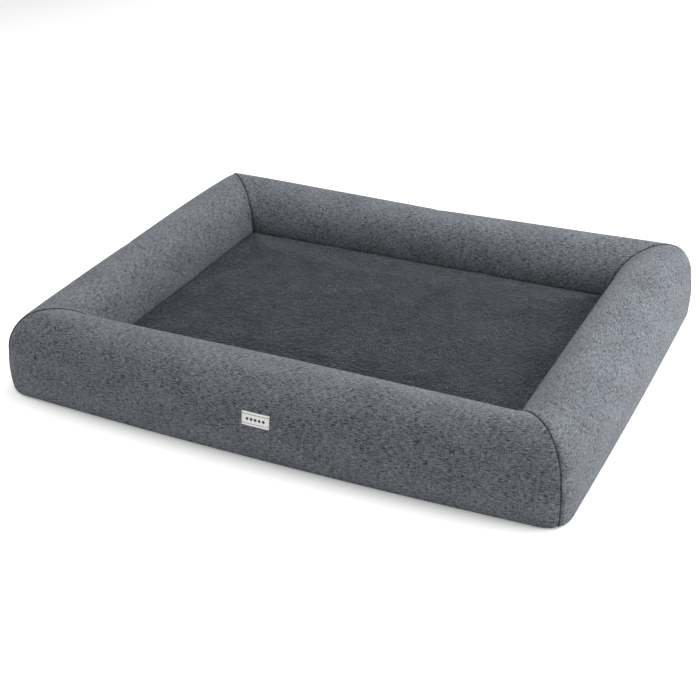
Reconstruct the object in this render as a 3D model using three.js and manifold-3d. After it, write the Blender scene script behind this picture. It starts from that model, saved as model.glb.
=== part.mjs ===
// A bolster pet bed: four padded bolsters mitred round a sunken sleeping pad, in a zipped fabric cover.
// Millimetres, +Z up, +X along the bed, the front at -Y. The origin is the centre of the underside.
import * as THREE from "three";
import { mergeVertices } from "three/addons/utils/BufferGeometryUtils.js";
import Module from "manifold-3d";

const wasm = await Module();
wasm.setup();

// ---------------------------------------------------------------- driving dimensions
const bed_length = 1000;
const bed_width = 773;
const bed_height = 143;
const corner_radius = 37; // of the outer wall in plan, fading to a sharp mitre further in
const outer_arch_half = 53; // from the outer wall to the crest
const outer_arch_rise = 66;
const inner_arch_half = 71.5; // from the crest to the inner wall
const inner_arch_rise = 69.5;
const hem_radius = 6; // where the outer wall turns under to the floor seam
const pad_height = 57.6; // top of the sleeping surface

const cover_thickness = 1.6;
const plush_thickness = 5;
const bottom_thickness = 1.8; // backing cloth and its grip dots
const support_foam_thickness = 25;
const piece_gap = 0.3; // left between pieces that touch

const zip_height = 27; // centre line above the floor
const zip_corner_margin = 83; // from the end of the zip chain to where the corner starts to turn
const zip_opening_half = 5.2; // from the centre line to the folded edge of the cloth
const tape_thickness = 0.8;
const tape_width = 11;
const tape_overrun = 15; // past each end of the chain
const coil_parting_half = 0.7; // from the centre line to each row of the coil
const coil_width = 2.4;
const coil_thickness = 2;
const stop_length = 3.5;

const slider_length = 13;
const slider_plate_thickness = 1.2;
const slider_flange_width = 1;
const slider_back_thickness = 1;
const slider_post_width = 0.8;
const slider_clearance = 0.3; // to the coil, the tape and the stops
const bridge_span = 6.4;
const bridge_width = 2;
const bridge_height = 2.6;
const bridge_bar = 0.8;
const pull_length = 25;
const pull_width = 6;
const pull_thickness = 1.2;
const pull_eye_clearance = 0.45; // round the bridge that the pull hangs on

const label_width = 48.4;
const label_height = 22;
const label_thickness = 0.6;
const label_top_rise = 7; // of its top edge, above where the outer wall starts to turn over

// ---------------------------------------------------------------- what follows from them
const wall_top = bed_height - outer_arch_rise; // where the outer wall starts to turn over
const floor_seam = bottom_thickness + piece_gap; // underside of the bolsters
const pad_seam = pad_height - plush_thickness; // where the bolster covers are sewn to the plush
const core_inset = cover_thickness + piece_gap;
const mitre_standoff = piece_gap / Math.SQRT2; // each side moved out by this opens piece_gap at the mitres
const tape_depth = 5; // front of the zip tape, in from the outer wall
const zip_valley = tape_depth - piece_gap - cover_thickness; // how far the cloth pulls in at the zip
const zip_valley_top = zip_height + coil_parting_half + tape_width + 2;
const zip_valley_fade = (wall_top - zip_valley_top) * 0.66; // height over which the wall comes out again
const slider_back_depth = tape_depth + tape_thickness + 0.4;
const zip_relief = slider_back_depth + slider_back_thickness + 0.4 - core_inset; // hollow in the rear core
const plate_back = -piece_gap - coil_thickness - slider_clearance; // from the front of the tape
const plate_front = plate_back - slider_plate_thickness;
const pull_axis_lift = (bridge_height - bridge_bar) / 2; // above the slider's plate
const chain_half = bed_length / 2 - corner_radius - zip_corner_margin;
const opening_end = chain_half + 6; // the cloth edges start to close here
const opening_shut = chain_half + 12;
const valley_end = chain_half + 20; // and the valley starts to fade out here
const valley_gone = chain_half + 60;

const arch_steps = 8;
const hem_steps = 3;
const corner_steps = 4;

// ---------------------------------------------------------------- materials
const linen = { color: 0x62666c, roughness: 0.95, metalness: 0 };
const plush = { color: 0x4f5257, roughness: 1, metalness: 0 };
const foam = { color: 0xe4e1d6, roughness: 0.9, metalness: 0 };
const grey_foam = { color: 0xa8adb3, roughness: 0.9, metalness: 0 };
const backing = { color: 0x2b2d30, roughness: 0.9, metalness: 0 };
const zip_cloth = { color: 0x3a3c40, roughness: 0.85, metalness: 0 };
const nylon = { color: 0x2c2e31, roughness: 0.45, metalness: 0 };
const gunmetal = { color: 0x55575b, roughness: 0.35, metalness: 1 };
const label_cloth = { color: 0xe9e9e6, roughness: 0.8, metalness: 0 };

// ---------------------------------------------------------------- helpers
function named(name, geometry, material) {
  const mesh = new THREE.Mesh(geometry, new THREE.MeshStandardMaterial(material));
  mesh.name = name;
  return mesh;
}

function smoothStep(t) {
  const s = Math.min(1, Math.max(0, t));
  return s * s * (3 - 2 * s);
}

// 1 up to the distance `from`, falling smoothly to 0 at the distance `to`.
function fadeOut(distance, from, to) {
  return 1 - smoothStep((distance - from) / (to - from));
}

// An indexed geometry with shared vertices, without the triangles that merging has collapsed.
function closedGeometry(positions, triangles) {
  const raw = new THREE.BufferGeometry();
  raw.setAttribute("position", new THREE.Float32BufferAttribute(positions, 3));
  raw.setIndex(triangles);
  const merged = mergeVertices(raw, 1e-3);
  const kept = [];
  for (let i = 0; i < merged.index.count; i += 3) {
    const [a, b, c] = [0, 1, 2].map((k) => merged.index.getX(i + k));
    if (a !== b && b !== c && c !== a) kept.push(a, b, c);
  }
  merged.setIndex(kept);
  merged.computeVertexNormals();
  return merged;
}

// The triangles that close a thin wall's ring, whose second half is its inner face run back again.
function wallCap(first, count) {
  const faces = [];
  for (let i = 0; i + 1 < count / 2; i++) {
    const [a, b, c, d] = [i, i + 1, count - 2 - i, count - 1 - i].map((k) => first + k);
    faces.push([a, b, c], [a, c, d]);
  }
  return faces;
}

// The triangles that close a full section's ring, as a fan round its middle point.
function fanCap(first, count, middle) {
  return Array.from({ length: count }, (_, i) => [first + i, first + ((i + 1) % count), middle]);
}

// A closed solid through equal rings of points. A ring runs up the outer wall and over the crest.
function loft(rings, filled) {
  const count = rings[0].length;
  const points = rings.flat();
  const triangles = [];
  for (let r = 0; r + 1 < rings.length; r++) {
    for (let i = 0; i < count; i++) {
      const a = r * count + i;
      const b = r * count + ((i + 1) % count);
      triangles.push(a, a + count, b, b, a + count, b + count);
    }
  }
  for (const ring of [0, rings.length - 1]) {
    const first = ring * count;
    const middle = [0, 1, 2].map((axis) => rings[ring].reduce((sum, p) => sum + p[axis], 0) / count);
    const faces = filled ? fanCap(first, count, points.push(middle) - 1) : wallCap(first, count);
    for (const [a, b, c] of faces) triangles.push(...(ring ? [a, c, b] : [a, b, c]));
  }
  return closedGeometry(points.flat(), triangles);
}

function box(x0, x1, y0, y1, z0, z1) {
  const geometry = new THREE.BoxGeometry(x1 - x0, y1 - y0, z1 - z0);
  return geometry.translate((x0 + x1) / 2, (y0 + y1) / 2, (z0 + z1) / 2);
}

function solidOf(geometry) {
  const bare = geometry.index ? geometry.clone() : mergeVertices(geometry.clone());
  bare.deleteAttribute("normal");
  bare.deleteAttribute("uv");
  const merged = mergeVertices(bare, 1e-4);
  return new wasm.Manifold(
    new wasm.Mesh({
      numProp: 3,
      vertProperties: merged.attributes.position.array,
      triVerts: new Uint32Array(merged.index.array),
    }),
  );
}

function geometryOf(solid) {
  const made = solid.getMesh();
  const geometry = new THREE.BufferGeometry();
  geometry.setAttribute("position", new THREE.BufferAttribute(made.vertProperties, 3));
  geometry.setIndex(new THREE.BufferAttribute(made.triVerts, 1));
  geometry.computeVertexNormals();
  return geometry;
}

// Joins closed geometries into one.
function joined(...pieces) {
  return geometryOf(pieces.map(solidOf).reduce((all, piece) => all.add(piece)));
}

function extruded(outline, depth, curveSegments) {
  return new THREE.ExtrudeGeometry(outline, { depth, bevelEnabled: false, curveSegments });
}

// A flat plate with round corners, its underside at z0.
function roundedPlate(half_x, half_y, radius, z0, thickness) {
  const outline = new THREE.Shape();
  const corners = [[1, -1, -90], [1, 1, 0], [-1, 1, 90], [-1, -1, 180]];
  for (const [sx, sy, start] of corners) {
    const from = THREE.MathUtils.degToRad(start);
    outline.absarc(sx * (half_x - radius), sy * (half_y - radius), radius, from, from + Math.PI / 2, false);
  }
  const plate = extruded(outline, thickness, 6);
  return plate.translate(0, 0, z0);
}

// ---------------------------------------------------------------- bolster sections
// A section is a list of [depth in from the outer wall, height], set in from the cloth's outer face.
function hemPath(inset) {
  return Array.from({ length: hem_steps + 1 }, (_, i) => {
    const turn = (i / hem_steps) * (Math.PI / 2);
    const radius = hem_radius - inset;
    return [hem_radius - radius * Math.sin(turn), floor_seam + hem_radius - radius * Math.cos(turn)];
  });
}

// Over the crest, from the outer wall to the inner wall or to the pad seam if that comes first.
function archPath(inset) {
  const path = [];
  for (let i = 0; i <= arch_steps; i++) {
    const turn = (i / arch_steps) * (Math.PI / 2);
    path.push([
      outer_arch_half - (outer_arch_half - inset) * Math.cos(turn),
      wall_top + (outer_arch_rise - inset) * Math.sin(turn),
    ]);
  }
  const half = inner_arch_half - inset;
  const rise = inner_arch_rise - inset;
  const spring = bed_height - inner_arch_rise;
  const lowest = Math.asin(Math.min(1, Math.max(0, (pad_seam - spring) / rise)));
  for (let i = 1; i <= arch_steps; i++) {
    const turn = Math.PI / 2 - (i / arch_steps) * (Math.PI / 2 - lowest);
    path.push([outer_arch_half + half * Math.cos(turn), spring + rise * Math.sin(turn)]);
  }
  return path;
}

// The inner face's depth at the pad seam, and so where the sleeping well begins.
const well_inset = archPath(0).at(-1)[0];

function coverSection() {
  const path = (inset) => [...hemPath(inset), ...archPath(inset), [well_inset - inset, pad_seam]];
  return [...path(0), ...path(cover_thickness).reverse()];
}

function coreSection() {
  const foot = [[well_inset - core_inset, floor_seam], [hem_radius + piece_gap, floor_seam]];
  const [, ...rest] = hemPath(core_inset);
  return [...foot, [hem_radius + piece_gap, rest[0][1]], ...rest, ...archPath(core_inset)];
}

// The rear wall is drawn in along the zip: how far, at this height and distance from its middle.
function valleyAt(height, along, depth) {
  const upwards = fadeOut(height, zip_valley_top, zip_valley_top + zip_valley_fade);
  return depth * upwards * fadeOut(along, valley_end, valley_gone);
}

function openingAt(along) {
  return piece_gap / 2 + (zip_opening_half - piece_gap / 2) * fadeOut(along, opening_end, opening_shut);
}

function rearCoverSection(along) {
  const edge = zip_height + openingAt(along);
  const levels = [0, 0.5, 0.7, 0.85, 1].map((t) => edge + t * (zip_valley_top + zip_valley_fade - edge));
  const path = (inset) => [
    ...levels.map((z) => [inset + valleyAt(z, along, zip_valley), z]),
    ...archPath(inset),
    [well_inset - inset, pad_seam],
  ];
  return [...path(0), ...path(cover_thickness).reverse()];
}

function rearStripSection(along) {
  const edge = zip_height - openingAt(along);
  const path = (inset) =>
    [...hemPath(inset), [inset, edge]].map(([d, z]) => [
      Math.max(d, inset + valleyAt(z, along, zip_valley)),
      z,
    ]);
  return [...path(0), ...path(cover_thickness).reverse()];
}

function rearCoreSection(along) {
  const wall = [0, 0.33, 0.67, 1].map((t) => [core_inset, zip_valley_top + t * zip_valley_fade]);
  const [foot_in, , ...rest] = coreSection();
  const relieved = (d, z) => Math.max(d, core_inset + valleyAt(z, along, zip_relief));
  const hem = rest.slice(0, hem_steps + 1);
  const foot_out = relieved(hem_radius + piece_gap, floor_seam);
  return [
    foot_in,
    [foot_out, floor_seam],
    ...[...hem, ...wall].map(([d, z]) => [relieved(d, z), z]),
    ...rest.slice(hem_steps + 1),
  ];
}

// ---------------------------------------------------------------- bolsters
// A side runs along its own X between two mitres, with its outer wall at y = 0 and its depth along +Y.
// The corner's radius shrinks with depth, so that each section's ends still lie in the mitre plane.
function bolster(half_run, section, stations, filled) {
  const run = half_run - mitre_standoff;
  const radiusAt = (depth) => Math.max(0, corner_radius - depth / 2);
  const straightEnd = (depth) => run - depth - radiusAt(depth);
  const cornerPoint = (side, degrees) => ([depth, height]) => {
    const radius = radiusAt(depth);
    const turn = THREE.MathUtils.degToRad(degrees);
    const x = straightEnd(depth) + radius * Math.sin(turn);
    return [side * x, depth + radius - radius * Math.cos(turn), height];
  };
  const wallPoint = (along) => ([depth, height]) => {
    const x = Math.min(Math.abs(along), straightEnd(depth));
    return [Math.sign(along) * x, depth, height];
  };
  const turns = Array.from({ length: corner_steps + 1 }, (_, i) => (45 * i) / corner_steps);
  const end = run - corner_radius;
  const rings = [
    ...turns.map((degrees) => section(end).map(cornerPoint(-1, degrees))).reverse(),
    ...stations.map((along) => section(Math.abs(along)).map(wallPoint(along))),
    ...turns.map((degrees) => section(end).map(cornerPoint(1, degrees))),
  ];
  return loft(rings, filled);
}

const sides = {
  front: { turn: 0, half_run: bed_length / 2, reach: bed_width / 2 },
  right: { turn: 90, half_run: bed_width / 2, reach: bed_length / 2 },
  rear: { turn: 180, half_run: bed_length / 2, reach: bed_width / 2 },
  left: { turn: 270, half_run: bed_width / 2, reach: bed_length / 2 },
};

function sideGroup({ turn, reach }) {
  const group = new THREE.Group();
  group.rotation.z = THREE.MathUtils.degToRad(turn);
  group.position.set(0, -reach, 0).applyAxisAngle(new THREE.Vector3(0, 0, 1), group.rotation.z);
  return group;
}

function makeBolsters(bed) {
  const groups = {};
  const shutting = [opening_end, (opening_end + opening_shut) / 2, opening_shut];
  const fading = [0, 0.25, 0.5, 0.75, 1].map((t) => valley_end + t * (valley_gone - valley_end));
  const outwards = [...shutting, ...fading];
  const rear_stations = [...outwards.map((x) => -x).reverse(), ...outwards];
  for (const [name, side] of Object.entries(sides)) {
    const group = sideGroup(side);
    const rear = name === "rear";
    const stations = rear ? rear_stations : [];
    const cover = bolster(side.half_run, rear ? rearCoverSection : coverSection, stations, false);
    const core = bolster(side.half_run, rear ? rearCoreSection : coreSection, stations, true);
    group.add(named(name + "_bolster_cover", cover, linen));
    group.add(named(name + "_bolster_core", core, foam));
    if (rear) {
      const strip = bolster(side.half_run, rearStripSection, stations, false);
      group.add(named("rear_zip_strip", strip, linen));
    }
    groups[name] = group;
    bed.add(group);
  }
  return groups;
}

// ---------------------------------------------------------------- pad and underside
function makePad(bed) {
  const half_x = bed_length / 2 - well_inset;
  const half_y = bed_width / 2 - well_inset;
  const slab = (z0, z1) => {
    const x = half_x + core_inset - piece_gap;
    const y = half_y + core_inset - piece_gap;
    return box(-x, x, -y, y, z0, z1);
  };
  const support_top = floor_seam + support_foam_thickness;
  const surface_x = half_x - piece_gap;
  const surface_y = half_y - piece_gap;
  const surface = box(-surface_x, surface_x, -surface_y, surface_y, pad_seam, pad_height);
  bed.add(named("support_foam", slab(floor_seam, support_top), grey_foam));
  bed.add(named("comfort_foam", slab(support_top + piece_gap, pad_seam - piece_gap), foam));
  bed.add(named("sleeping_surface", surface, plush));
  const bottom_x = bed_length / 2 - hem_radius;
  const bottom_y = bed_width / 2 - hem_radius;
  const bottom = roundedPlate(bottom_x, bottom_y, corner_radius - hem_radius, 0, bottom_thickness);
  bed.add(named("bottom_panel", bottom, backing));
}

// ---------------------------------------------------------------- zip along the rear
// In the rear side's own frame: x along the zip, y in from the outer wall. It shuts towards +X there.
function makeZip(rear) {
  const coil_front = tape_depth - piece_gap - coil_thickness;
  const rows = { upper: 1, lower: -1 };
  for (const [row, up] of Object.entries(rows)) {
    const band = (from, width) => {
      const [a, b] = [zip_height + up * from, zip_height + up * (from + width)];
      return [Math.min(a, b), Math.max(a, b)];
    };
    const tape_half = chain_half + tape_overrun;
    const tape_back = tape_depth + tape_thickness;
    const coil_band = band(coil_parting_half, coil_width);
    const tape = box(-tape_half, tape_half, tape_depth, tape_back, ...band(coil_parting_half, tape_width));
    const coil = box(-chain_half, chain_half, coil_front, coil_front + coil_thickness, ...coil_band);
    const stop_start = chain_half + piece_gap;
    const stop_front = coil_front - 0.2;
    const stop = box(stop_start, stop_start + stop_length, stop_front, tape_depth - piece_gap, ...coil_band);
    rear.add(named("zip_tape_" + row, tape, zip_cloth));
    rear.add(named("zip_coil_" + row, coil, nylon));
    rear.add(named("zip_top_stop_" + row, stop, gunmetal));
  }
  const reach = coil_parting_half + coil_width;
  const bottom_start = -chain_half - piece_gap - stop_length;
  const bottom_stop = box(
    bottom_start,
    bottom_start + stop_length,
    coil_front - 0.2,
    tape_depth - piece_gap,
    zip_height - reach,
    zip_height + reach,
  );
  rear.add(named("zip_bottom_stop", bottom_stop, gunmetal));
}

// Wide at the mouth (+X), where the two rows part, and narrower at the tail.
function sliderPlate(half_width, y0, thickness) {
  const mouth = slider_length / 2;
  const tail_half = half_width * 0.86;
  const outline = new THREE.Shape();
  outline.moveTo(-mouth, -tail_half + 1.2);
  outline.quadraticCurveTo(-mouth, -tail_half, -mouth + 1.2, -tail_half);
  outline.lineTo(0, -half_width);
  outline.lineTo(mouth - 2.2, -half_width);
  outline.quadraticCurveTo(mouth, -half_width, mouth, -half_width + 2.2);
  outline.lineTo(mouth, half_width - 2.2);
  outline.quadraticCurveTo(mouth, half_width, mouth - 2.2, half_width);
  outline.lineTo(0, half_width);
  outline.lineTo(-mouth + 1.2, tail_half);
  outline.quadraticCurveTo(-mouth, tail_half, -mouth, tail_half - 1.2);
  outline.closePath();
  const plate = extruded(outline, thickness, 4);
  return plate.rotateX(Math.PI / 2).translate(0, y0 + thickness, 0);
}

// The slider, in its own frame: y = 0 at the front of the tape and +Y into the bed, z = 0 on the centre line.
function makeSlider() {
  const coil_outer = coil_parting_half + coil_width;
  const flange_in = coil_outer + slider_clearance;
  const half_width = flange_in + slider_flange_width;
  const flange_back = -slider_clearance;
  const tail = -slider_length / 2;
  const flange_end = slider_length / 2 - 2;
  const back_front = slider_back_depth - tape_depth;
  const overlap = 0.2;
  const flange = (side) =>
    box(
      tail + 0.6,
      flange_end,
      plate_back - overlap,
      flange_back,
      ...(side > 0 ? [flange_in, half_width - 0.15] : [-half_width + 0.15, -flange_in]),
    );
  const post = box(
    1.5,
    slider_length / 2 - 1,
    plate_back - overlap,
    back_front + overlap,
    -slider_post_width / 2,
    slider_post_width / 2,
  );
  const foot = (side) =>
    box(
      ...(side > 0 ? [bridge_span / 2 - 1, bridge_span / 2] : [-bridge_span / 2, 1 - bridge_span / 2]),
      plate_front - bridge_height,
      plate_front + overlap,
      -bridge_width / 2,
      bridge_width / 2,
    );
  const top = box(
    -bridge_span / 2,
    bridge_span / 2,
    plate_front - bridge_height,
    plate_front - bridge_height + bridge_bar,
    -bridge_width / 2,
    bridge_width / 2,
  );
  return joined(
    sliderPlate(half_width, plate_front, slider_plate_thickness),
    sliderPlate(half_width - 0.4, back_front, slider_back_thickness),
    flange(1),
    flange(-1),
    post,
    foot(1),
    foot(-1),
    top,
  );
}

// The pull, in its own frame: it turns on the round bar at x = 0 under the bridge and lies along -X.
function makePull() {
  const bar_radius = pull_thickness / 2;
  const bridge_corner = Math.hypot(bridge_span / 2, bridge_height - pull_axis_lift);
  const eye_far = bridge_corner + pull_eye_clearance;
  const eye_half = bridge_width / 2 + pull_eye_clearance;
  const half = pull_width / 2;
  const outline = new THREE.Shape();
  outline.moveTo(0, -half);
  outline.lineTo(0, half);
  outline.lineTo(-pull_length + half, half);
  outline.absarc(-pull_length + half, 0, half, Math.PI / 2, (3 * Math.PI) / 2, false);
  outline.closePath();
  const eye = new THREE.Path();
  eye.moveTo(-bar_radius * 0.9, -eye_half);
  eye.lineTo(-bar_radius * 0.9, eye_half);
  eye.lineTo(-eye_far, eye_half);
  eye.lineTo(-eye_far, -eye_half);
  eye.closePath();
  outline.holes.push(eye);
  const plate = extruded(outline, pull_thickness, 10);
  plate.rotateX(Math.PI / 2).translate(0, pull_thickness / 2, 0);
  const pin = new THREE.CylinderGeometry(bar_radius, bar_radius, pull_width, 12).rotateX(Math.PI / 2);
  return joined(plate, pin);
}

function makeZipSlider(rear) {
  const slider = new THREE.Group();
  slider.position.set(chain_half - slider_length / 2, tape_depth, zip_height);
  slider.add(named("zip_slider", makeSlider(), gunmetal));
  const pull = named("zip_pull", makePull(), gunmetal);
  pull.position.y = plate_front - pull_axis_lift;
  slider.add(pull);
  rear.add(slider);
}

// ---------------------------------------------------------------- label
function makeLabel(front) {
  const half = label_width / 2;
  const top = wall_top + label_top_rise;
  const label = box(-half, half, -piece_gap - label_thickness, -piece_gap, top - label_height, top);
  front.add(named("woven_label", label, label_cloth));
}

const bed = new THREE.Group();
const groups = makeBolsters(bed);
makePad(bed);
makeZip(groups.rear);
makeZipSlider(groups.rear);
makeLabel(groups.front);

export default bed;
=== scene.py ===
# A bolster pet bed in grey linen-look cloth: four padded bolsters mitred round a plush sleeping pad.
import math

import bpy
import numpy as np
from mathutils import Matrix, Vector, noise


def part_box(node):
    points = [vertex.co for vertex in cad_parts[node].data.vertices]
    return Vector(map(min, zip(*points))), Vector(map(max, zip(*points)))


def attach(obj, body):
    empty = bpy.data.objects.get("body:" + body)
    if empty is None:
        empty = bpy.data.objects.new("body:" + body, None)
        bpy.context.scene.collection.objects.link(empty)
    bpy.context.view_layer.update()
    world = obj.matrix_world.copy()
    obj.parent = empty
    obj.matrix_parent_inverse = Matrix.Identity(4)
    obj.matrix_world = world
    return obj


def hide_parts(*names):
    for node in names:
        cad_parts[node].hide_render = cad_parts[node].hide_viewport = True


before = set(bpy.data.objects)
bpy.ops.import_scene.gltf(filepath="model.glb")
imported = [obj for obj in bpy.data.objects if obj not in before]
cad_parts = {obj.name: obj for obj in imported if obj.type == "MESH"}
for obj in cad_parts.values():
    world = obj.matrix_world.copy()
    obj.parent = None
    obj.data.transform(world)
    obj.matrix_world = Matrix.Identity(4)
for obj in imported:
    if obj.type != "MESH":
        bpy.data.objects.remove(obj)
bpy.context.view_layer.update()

mm = 0.001

# ------ the view
# The bed is seen from its front right corner with a long lens, as in a catalogue picture.
view_turn, view_rise, view_roll = 0.4695, 0.5102, -0.032
view_distance, view_side, view_lift = 2.4014, -0.0262, -0.0058
view_lens = 68.38

backward = Vector((
    math.sin(view_turn) * math.cos(view_rise),
    -math.cos(view_turn) * math.cos(view_rise),
    math.sin(view_rise),
))
level = Vector((math.cos(view_turn), math.sin(view_turn), 0))
upright = backward.cross(level)
across = math.cos(view_roll) * level + math.sin(view_roll) * upright
upward = math.cos(view_roll) * upright - math.sin(view_roll) * level


def linked(name, data):
    made = bpy.data.objects.new(name, data)
    bpy.context.scene.collection.objects.link(made)
    return made


camera = linked("camera", bpy.data.cameras.new("camera"))
camera.data.lens = view_lens
camera.data.sensor_width = 36
camera.rotation_mode = "QUATERNION"
camera.rotation_quaternion = Matrix((across, upward, backward)).transposed().to_quaternion()
camera.location = view_distance * backward + view_side * across + view_lift * upward
bpy.context.scene.camera = camera
bpy.context.scene.view_settings.view_transform = "Standard"

# ------ the bolsters
# Each bolster is a foam core in a sleeve of linen-look polyester. The sleeves are cut at 45 degrees
# and sewn together at the corners, and sewn to the plush along the foot of their inner faces.
front_low, front_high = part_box("front_bolster_cover")
half_length, half_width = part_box("right_bolster_cover")[1].x, -front_low.y
crest_height, floor_seam = front_high.z, front_low.z
well_depth = front_high.y - front_low.y  # from the outer wall to the inner one
pad_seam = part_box("sleeping_surface")[0].z

corner_radius = 37 * mm  # of the outer wall in plan, fading to a sharp mitre further in
radius_fade = 3.2  # further in, for each unit of the radius lost
hem_radius = 3.5 * mm
hem_foot = 0.9 * mm  # the sleeves' lowest cloth, beside the backing
foot_margin = 4 * mm  # from the hem to the hidden foot behind it
outer_arch = (53 * mm, 66 * mm)  # half width and rise, from the outer wall to the crest
inner_arch = (well_depth - outer_arch[0], 69.5 * mm)
wall_top = crest_height - outer_arch[1]
wall_belly = 2.4 * mm  # how far the foam pushes the walls out
core_clearance = 1.9 * mm
mitre_standoff = 0.22 * mm
side_bows = {"front": 14 * mm, "right": 6 * mm, "left": 15 * mm}  # how far the foam bows each side out
bow_power = 2.2  # the higher, the fuller the bow near the corners
bow_start, bow_fade = 20 * mm, 80 * mm  # a bow is whole to this depth, and fades over this much more
front_lean = 0.8  # the share of the front's bow that is lost at its crest
seam_dip = 2.6 * mm  # how deep the cloth dips into a corner seam, and how far from it the dip begins
seam_reach = 3.2 * mm
seam_power = 1.3  # the higher, the more sharply the dip begins
cloth_step = 6 * mm
mitre_rows = np.array([0, 1.1, 2.4, 4, 6.2, 9, 12.5, 17]) * mm  # closer cloth rows at a corner seam

cloth_pressure = 4
cloth_frames = 20
gather_slack = 0.03  # spare cloth where a seam gathers it
pad_gather, mitre_gather = 28 * mm, 40 * mm  # how far the gathers reach from the seams
swell_room = 2.1 * mm  # the filling starts this far inside its finished shape
swell_fade, swell_rows = 20 * mm, 4  # that room opens over this far from a seam, and these rows
most_swell = 9 * mm  # no point moves further
crest_smoothing = 60  # passes that round off the rise and fall of a crest

# For each side: its turn, half its run, how far out it stands, and the rise of its crest in
# millimetres at shares of the run, from its left end to its right end as seen from outside.
sides = {
    "front": (0, half_length, half_width, [(-1, 1), (-0.8, 1), (0, 0), (0.8, 1), (1, 0)]),
    "right": (90, half_width, half_length, [(-1, 0), (0, -1), (1, -1)]),
    "rear": (180, half_length, half_width,
             [(-1, -1), (-0.7, -2.5), (0, -2.5), (0.5, -1), (0.8, 0.5), (1, 1)]),
    "left": (270, half_width, half_length, [(-1, 0), (-0.6, 0), (0, -1.5), (0.6, -2.5), (1, -1)]),
}


def smooth_step(t):
    t = np.clip(t, 0, 1)
    return t * t * (3 - 2 * t)


def arc(centre, radii, start, end, steps):
    """Points of an ellipse in the section plane. Turn 0 is outwards and 90 degrees is up."""
    turns = np.radians(np.linspace(start, end, steps))
    return np.stack([centre[0] - radii[0] * np.cos(turns), centre[1] + radii[1] * np.sin(turns)], 1)


def run_along(path):
    """The distance along a path to each of its points."""
    return np.concatenate([[0], np.cumsum(np.linalg.norm(np.diff(path, axis=0), axis=1))])


def evenly(path, step):
    """The path again, with its points about a step apart and both ends kept."""
    run = run_along(path)
    at = np.linspace(0, run[-1], max(2, round(run[-1] / step) + 1))
    return np.stack([np.interp(at, run, path[:, k]) for k in range(path.shape[1])], 1)


def over_the_top(wall_start):
    """A section's cloth from the outer wall, over the crest and down to the pad seam."""
    wall = np.linspace((0, wall_start), (0, wall_top), 24)
    share = (wall[:, 1] - hem_foot) / (wall_top - hem_foot)
    wall[:, 0] -= wall_belly * 4 * share * (1 - share)
    inner_spring = (outer_arch[0], crest_height - inner_arch[1])
    return evenly(np.concatenate([
        wall,
        arc((outer_arch[0], wall_top), outer_arch, 2, 90, 40),
        arc(inner_spring, inner_arch, 92, 180, 44),
        [(well_depth, pad_seam)],
    ]), cloth_step)


def foot_to(outer):
    """The hidden foot of a section, from the pad seam down and back to a depth near the outer wall."""
    inner = well_depth - core_clearance
    shares = np.linspace(1, 0, 6)[1:-1]
    return np.array([
        (inner, pad_seam - mm), (inner, pad_seam / 2), (inner, floor_seam + mm), (inner - mm, floor_seam),
        *[(outer + share * (inner - outer), floor_seam) for share in shares], (outer, floor_seam),
    ])


def mitred(half_run, stations, sections):
    """Points of one section for each station, and their distance along. A station is a share of the
    run from mitre to mitre. The corner's radius shrinks with depth, so every row ends in the mitre."""
    depth, height = sections[..., 0], sections[..., 1]
    radius = np.maximum(corner_radius - np.maximum(depth, 0) / radius_fade, 0)
    straight = half_run - mitre_standoff - depth - radius
    along = stations[:, None] * (straight + radius * math.pi / 4)
    past = np.maximum(np.abs(along) - straight, 0)
    turned = np.where(radius > 0, past / np.maximum(radius, 1e-6), 0)
    x = np.minimum(np.abs(along), straight) + radius * np.sin(turned)
    y = depth + radius * (1 - np.cos(turned))
    return np.stack([np.sign(along) * x, y, height + 0 * along], -1), along


def stations_of(half_run, step):
    """Shares of the run from -1 to 1, with closer rows next to the mitres."""
    plain = half_run - mitre_rows[-1]
    middle = np.linspace(-plain, plain, round(2 * plain / step) + 1)
    near = half_run - mitre_rows[:-1]
    return np.concatenate([-near, middle, near[::-1]]) / half_run


def sleeve_faces(rows, count):
    """Quads between the rings of a sleeve, and a fan in each end round a point of its own."""
    i, k = np.meshgrid(np.arange(rows - 1), np.arange(count), indexing="ij")
    here, after = i * count, (k + 1) % count
    quads = np.stack([here + k, here + count + k, here + count + after, here + after], -1)
    last = (rows - 1) * count
    fans = [[(j + 1) % count, j, rows * count] for j in range(count)]
    fans += [[last + j, last + (j + 1) % count, rows * count + 1] for j in range(count)]
    return quads.reshape(-1, 4).tolist() + fans


def outward(points, faces):
    """Unit normals at the points."""
    normals = np.zeros_like(points)
    for size in (3, 4):
        chosen = np.array([f for f in faces if len(f) == size])
        if len(chosen):
            corner = points[chosen]
            flat = np.cross(corner[:, 1] - corner[:, 0], corner[:, -1] - corner[:, 0])
            for k in range(size):
                np.add.at(normals, chosen[:, k], flat)
    return normals / np.maximum(np.linalg.norm(normals, axis=1, keepdims=True), 1e-12)


def evaluated(made):
    return made.evaluated_get(bpy.context.evaluated_depsgraph_get())


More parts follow.
